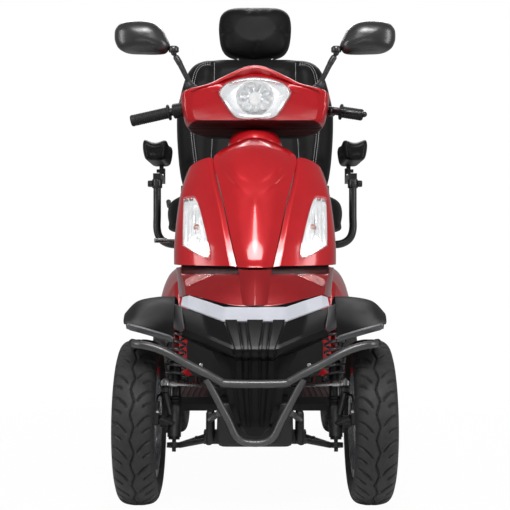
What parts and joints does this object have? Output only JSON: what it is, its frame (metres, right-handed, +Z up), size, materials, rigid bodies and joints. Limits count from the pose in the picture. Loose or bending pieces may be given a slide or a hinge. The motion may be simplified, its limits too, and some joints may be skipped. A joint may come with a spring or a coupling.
{
  "type": "mobility scooter",
  "caption": "Four-wheel mobility scooter with glossy nose fairing, tiller with cowl, mirrors and headlamp, sprung wheels, footboard, swivelling padded seat with headrest and arm pads.",
  "frame": {"origin": "centre of the overall box in plan, on the ground under the tyres", "axes": "+X to the rider's left, +Y from the nose to the tail, +Z up"},
  "size_m": [0.762, 1.5601, 1.4749],
  "materials": {
    "frame_red": "gloss powder coat",
    "gloss_red": "gloss metallic lacquer",
    "bar_grey": "satin gunmetal",
    "satin_black": "fine grain",
    "trim_silver": "satin silver",
    "lens_clear": "clear moulded",
    "reflector": "bright",
    "floor_rubber": "ribbed mat",
    "black_steel": "satin black",
    "bright_steel": "zinc plated",
    "spring_steel": "gloss grey",
    "cast_alloy": "as cast",
    "wheel_alloy": "silver lacquer",
    "tyre_rubber": "matte",
    "grip_rubber": "matte",
    "seat_vinyl": "grained vinyl"
  },
  "bodies": {
    "frame": {"chassis_frame": "frame_red", "bumper_bar": "bar_grey", "bumper_panel": "satin_black", "trim_strip": "trim_silver", "fairing_centre": "gloss_red", "fairing_sides": "gloss_red", "chin_panel": "gloss_red", "lamp_lenses": "lens_clear", "front_fenders": "satin_black", "floor_pan": "floor_rubber", "knee_panel": "satin_black", "rear_body": "gloss_red", "battery_pack": "satin_black", "rear_shocks": "spring_steel", "front_spring_left": "spring_steel", "front_spring_right": "spring_steel"},
    "tiller": {"steering_column": "black_steel"},
    "bars": {"handlebar": "black_steel", "handlebar_cowl": "gloss_red", "headlamp_lens": "lens_clear", "headlamp_reflector": "reflector", "dash_panel": "satin_black", "left_grip": "grip_rubber", "mirror_stems": "black_steel"},
    "throttle": {"throttle_grip": "grip_rubber"},
    "lever": {"brake_lever": "cast_alloy"},
    "mirror_l": {"mirror_left": "satin_black"},
    "mirror_r": {"mirror_right": "satin_black"},
    "key": {"ignition_key": "bright_steel"},
    "dial": {"speed_dial": "satin_black"},
    "horn": {"horn_button": "satin_black"},
    "drive": {"swing_frame": "cast_alloy"},
    "wheel_rl": {"rear_tyre_left": "tyre_rubber", "rear_rim_left": "wheel_alloy"},
    "wheel_rr": {"rear_tyre_right": "tyre_rubber", "rear_rim_right": "wheel_alloy"},
    "seat_turn": {"seat_post": "black_steel"},
    "seat": {"seat_pan": "black_steel", "seat_cushion": "seat_vinyl", "arm_posts": "black_steel"},
    "back": {"seat_back": "seat_vinyl"},
    "head_pad": {"headrest": "seat_vinyl"},
    "pad_l": {"arm_pad_left": "grip_rubber"},
    "pad_r": {"arm_pad_right": "grip_rubber"},
    "swivel_handle": {"swivel_lever": "bright_steel"},
    "recline_handle": {"recline_lever": "black_steel"},
    "strut_l": {"strut_left": "black_steel", "brake_hose_left": "grip_rubber"},
    "knuckle_l": {"knuckle_left": "cast_alloy"},
    "wheel_fl": {"front_tyre_left": "tyre_rubber", "front_rim_left": "wheel_alloy"},
    "link_l": {"tie_rod_left": "bright_steel"},
    "arm_l": {"lower_arm_left": "black_steel"},
    "strut_r": {"strut_right": "black_steel", "brake_hose_right": "grip_rubber"},
    "knuckle_r": {"knuckle_right": "cast_alloy"},
    "wheel_fr": {"front_tyre_right": "tyre_rubber", "front_rim_right": "wheel_alloy"},
    "link_r": {"tie_rod_right": "bright_steel"},
    "arm_r": {"lower_arm_right": "black_steel"}
  },
  "joints": [
    {"name": "steer", "type": "hinge", "parent": "frame", "child": "tiller", "pos_m": [0, -0.458, 0.203], "axis": [0, 0.2419, 0.9703], "range_deg": [-28, 28]},
    {"name": "tiller_tilt", "type": "hinge", "parent": "tiller", "child": "bars", "pos_m": [0, -0.29107, 0.8725], "axis": [-1, 0, 0], "range_deg": [-7, 8]},
    {"name": "throttle_twist", "type": "hinge", "parent": "bars", "child": "throttle", "pos_m": [-0.23, -0.24099, 1.009], "axis": [-0.9748, 0.0783, -0.2089], "range_deg": [0, 55], "stiffness_Nm_per_rad": 0.5},
    {"name": "brake_squeeze", "type": "hinge", "parent": "bars", "child": "lever", "pos_m": [0.208, -0.26799, 1.008], "axis": [0, 0, -1], "range_deg": [-12, 0], "stiffness_Nm_per_rad": 2},
    {"name": "mirror_left_tilt", "type": "hinge", "parent": "bars", "child": "mirror_l", "pos_m": [0.222, -0.25799, 1.168], "axis": [1, 0, 0], "range_deg": [-12, 12]},
    {"name": "mirror_right_tilt", "type": "hinge", "parent": "bars", "child": "mirror_r", "pos_m": [-0.222, -0.25799, 1.168], "axis": [1, 0, 0], "range_deg": [-12, 12]},
    {"name": "key_turn", "type": "hinge", "parent": "bars", "child": "key", "pos_m": [-0.1, -0.20857, 1.00716], "axis": [0, 0.8944, 0.4472], "range_deg": [0, 90]},
    {"name": "speed_turn", "type": "hinge", "parent": "bars", "child": "dial", "pos_m": [0, -0.19873, 0.98748], "axis": [0, 0.8944, 0.4472], "range_deg": [0, 270]},
    {"name": "horn_press", "type": "slide", "parent": "bars", "child": "horn", "axis": [0, -0.8944, -0.4472], "range_m": [0, 0.003], "stiffness_N_per_m": 400},
    {"name": "bump_left", "type": "slide", "parent": "frame", "child": "strut_l", "axis": [0, 0.2419, 0.9703], "range_m": [-0.015, 0.015], "stiffness_N_per_m": 16000, "springref_m": -0.02, "deforming": ["front_spring_left"]},
    {"name": "steer_left", "type": "hinge", "parent": "strut_l", "child": "knuckle_l", "pos_m": [0.2, -0.53, 0.203], "axis": [0, 0.2419, 0.9703], "range_deg": [-28, 28], "deforming": ["brake_hose_left"]},
    {"name": "wheel_front_left", "type": "hinge", "parent": "knuckle_l", "child": "wheel_fl", "pos_m": [0.284, -0.53, 0.203], "axis": [1, 0, 0], "continuous": true},
    {"name": "link_left", "type": "hinge", "parent": "knuckle_l", "child": "link_l", "pos_m": [0.22, -0.56222, 0.30113], "axis": [0, 0.2419, 0.9703], "range_deg": [-28, 28]},
    {"name": "arm_left", "type": "hinge", "parent": "frame", "child": "arm_l", "pos_m": [0.112, -0.54, 0.166], "axis": [0, -1, 0], "range_deg": [-9.8, 9.8]},
    {"name": "bump_right", "type": "slide", "parent": "frame", "child": "strut_r", "axis": [0, 0.2419, 0.9703], "range_m": [-0.015, 0.015], "stiffness_N_per_m": 16000, "springref_m": -0.02, "deforming": ["front_spring_right"]},
    {"name": "steer_right", "type": "hinge", "parent": "strut_r", "child": "knuckle_r", "pos_m": [-0.2, -0.53, 0.203], "axis": [0, 0.2419, 0.9703], "range_deg": [-28, 28], "deforming": ["brake_hose_right"]},
    {"name": "wheel_front_right", "type": "hinge", "parent": "knuckle_r", "child": "wheel_fr", "pos_m": [-0.284, -0.53, 0.203], "axis": [1, 0, 0], "continuous": true},
    {"name": "link_right", "type": "hinge", "parent": "knuckle_r", "child": "link_r", "pos_m": [-0.22, -0.56222, 0.30113], "axis": [0, 0.2419, 0.9703], "range_deg": [-28, 28]},
    {"name": "arm_right", "type": "hinge", "parent": "frame", "child": "arm_r", "pos_m": [-0.112, -0.54, 0.166], "axis": [0, 1, 0], "range_deg": [-9.8, 9.8]},
    {"name": "rear_swing", "type": "hinge", "parent": "frame", "child": "drive", "pos_m": [0, 0.347, 0.205], "axis": [1, 0, 0], "range_deg": [-4, 4], "stiffness_Nm_per_rad": 2500, "springref_deg": -3.44, "deforming": ["rear_shocks"]},
    {"name": "wheel_rear_left", "type": "hinge", "parent": "drive", "child": "wheel_rl", "pos_m": [0.288, 0.55, 0.203], "axis": [1, 0, 0], "continuous": true},
    {"name": "wheel_rear_right", "type": "hinge", "parent": "drive", "child": "wheel_rr", "pos_m": [-0.288, 0.55, 0.203], "axis": [1, 0, 0], "continuous": true},
    {"name": "seat_swivel", "type": "hinge", "parent": "frame", "child": "seat_turn", "pos_m": [0, 0.215, 0.5], "axis": [0, 0, 1], "range_deg": [-45, 45]},
    {"name": "seat_slide", "type": "slide", "parent": "seat_turn", "child": "seat", "axis": [0, 1, 0], "range_m": [-0.01, 0.06]},
    {"name": "backrest_recline", "type": "hinge", "parent": "seat", "child": "back", "pos_m": [0, 0.419, 0.74], "axis": [-1, 0, 0], "range_deg": [-3, 22]},
    {"name": "headrest_rise", "type": "slide", "parent": "back", "child": "head_pad", "axis": [0, 0.1564, 0.9877], "range_m": [0, 0.05]},
    {"name": "arm_pad_left_lift", "type": "hinge", "parent": "seat", "child": "pad_l", "pos_m": [0.306, 0.331, 0.891], "axis": [-1, 0, 0], "range_deg": [0, 75]},
    {"name": "arm_pad_right_lift", "type": "hinge", "parent": "seat", "child": "pad_r", "pos_m": [-0.306, 0.331, 0.891], "axis": [-1, 0, 0], "range_deg": [0, 75]},
    {"name": "swivel_release", "type": "hinge", "parent": "seat", "child": "swivel_handle", "pos_m": [-0.196, 0.021, 0.659], "axis": [0, 0, 1], "range_deg": [0, 14], "stiffness_Nm_per_rad": 0.5},
    {"name": "recline_release", "type": "hinge", "parent": "seat", "child": "recline_handle", "pos_m": [-0.266, 0.419, 0.74], "axis": [-1, 0, 0], "range_deg": [0, 18], "stiffness_Nm_per_rad": 1}
  ],
  "couplings": [
    {"joint": "steer_left", "follows": "steer", "ratio": 1},
    {"joint": "link_left", "follows": "steer", "ratio": -1},
    {"joint": "arm_left", "follows": "bump_left", "rad_per_m": 11.364},
    {"joint": "steer_right", "follows": "steer", "ratio": 1},
    {"joint": "link_right", "follows": "steer", "ratio": -1},
    {"joint": "arm_right", "follows": "bump_right", "rad_per_m": 11.364}
  ]
}
